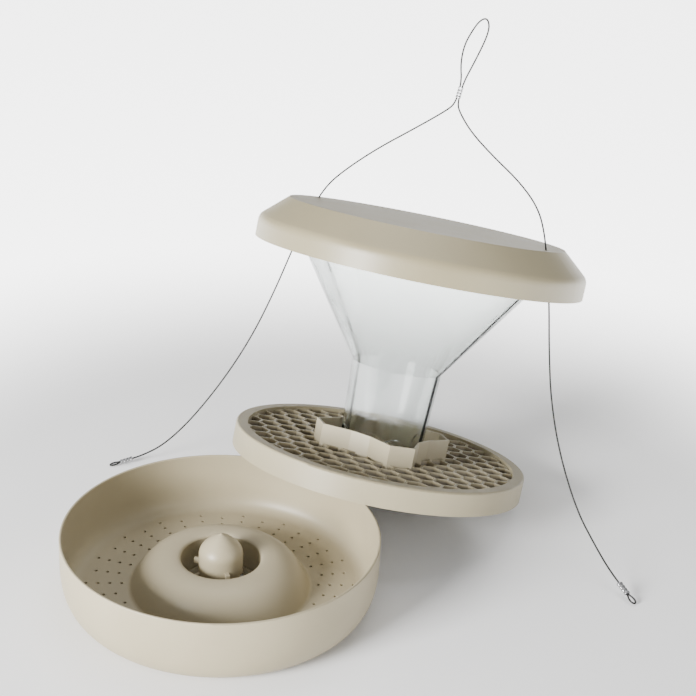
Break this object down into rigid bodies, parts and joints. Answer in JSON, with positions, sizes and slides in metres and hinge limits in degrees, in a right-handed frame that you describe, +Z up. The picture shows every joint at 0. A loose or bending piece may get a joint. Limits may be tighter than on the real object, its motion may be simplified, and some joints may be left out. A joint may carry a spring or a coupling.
{
  "type": "gravity bird feeder",
  "caption": "Hanging seed feeder taken apart: round mesh perch with clear cone hopper and wide roof leaning on its round catch tray, with a cable hanger.",
  "frame": {"origin": "centre of the catch tray's base ring, on the surface it stands on", "axes": "+Z up, along the catch tray's own axis; +X to the right and +Y to the rear, seen from the front with the disc leaning on the tray's rear right"},
  "size_m": [0.5516, 0.5611, 0.5038],
  "materials": {
    "tray_plastic": "fine moulded texture, slight sheen",
    "disc_plastic": "fine moulded texture, slight sheen",
    "cup_plastic": "fine moulded texture, slight sheen",
    "roof_plastic": "fine moulded texture, slight sheen",
    "clear_shell": "clear moulded plastic, slightly frosted",
    "coated_cable": "black coated twisted steel cable",
    "ferrule_metal": "dull crimped aluminium"
  },
  "bodies": {
    "tray_body": {"tray": "tray_plastic", "locking_post": "tray_plastic"},
    "disc_body": {"feeding_disc": "disc_plastic", "seed_cup": "cup_plastic"},
    "hopper_body": {"hopper_front_shell": "clear_shell", "hopper_rear_shell": "clear_shell"},
    "roof_body": {"roof": "roof_plastic", "hanger_cable": "coated_cable", "left_cable": "coated_cable", "right_cable": "coated_cable", "top_ferrule": "ferrule_metal", "left_ferrule": "ferrule_metal", "right_ferrule": "ferrule_metal", "left_eye": "coated_cable", "right_eye": "coated_cable"}
  },
  "joints": [
    {"name": "disc_lift", "type": "slide", "parent": "tray_body", "child": "disc_body", "axis": [0, 0, 1], "range_m": [0, 0.25]},
    {"name": "hopper_lift", "type": "slide", "parent": "disc_body", "child": "hopper_body", "axis": [0.1452, 0.2323, 0.9617], "range_m": [0, 0.12]},
    {"name": "roof_lift", "type": "slide", "parent": "hopper_body", "child": "roof_body", "axis": [0.1452, 0.2323, 0.9617], "range_m": [0, 0.15]}
  ]
}
